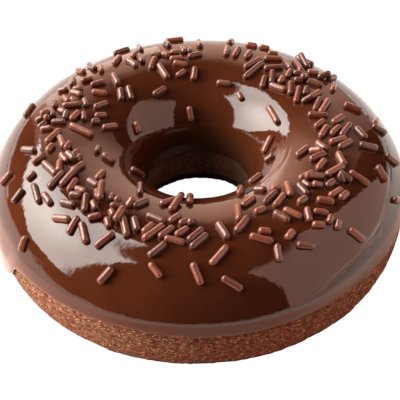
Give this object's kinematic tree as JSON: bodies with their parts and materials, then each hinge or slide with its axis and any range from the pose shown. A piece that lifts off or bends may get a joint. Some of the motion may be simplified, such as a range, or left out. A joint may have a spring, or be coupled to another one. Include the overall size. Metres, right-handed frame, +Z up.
{
  "type": "chocolate ring doughnut",
  "caption": "Ring doughnut of dark chocolate cake, its top dipped in glossy chocolate icing and strewn with chocolate sprinkles, standing on a flat base.",
  "frame": {"origin": "middle of the hole, on the surface that the doughnut stands on", "axes": "+Z up along the hole's axis; -Y faces the viewer of the picture"},
  "size_m": [0.0903, 0.0902, 0.0267],
  "materials": {
    "cake": "matt, fine crumb",
    "icing": "glossy dark brown chocolate icing",
    "sprinkles": "satin milk-brown sugar strands"
  },
  "bodies": {
    "root": {"cake": "cake", "icing": "icing"}
  },
  "joints": []
}
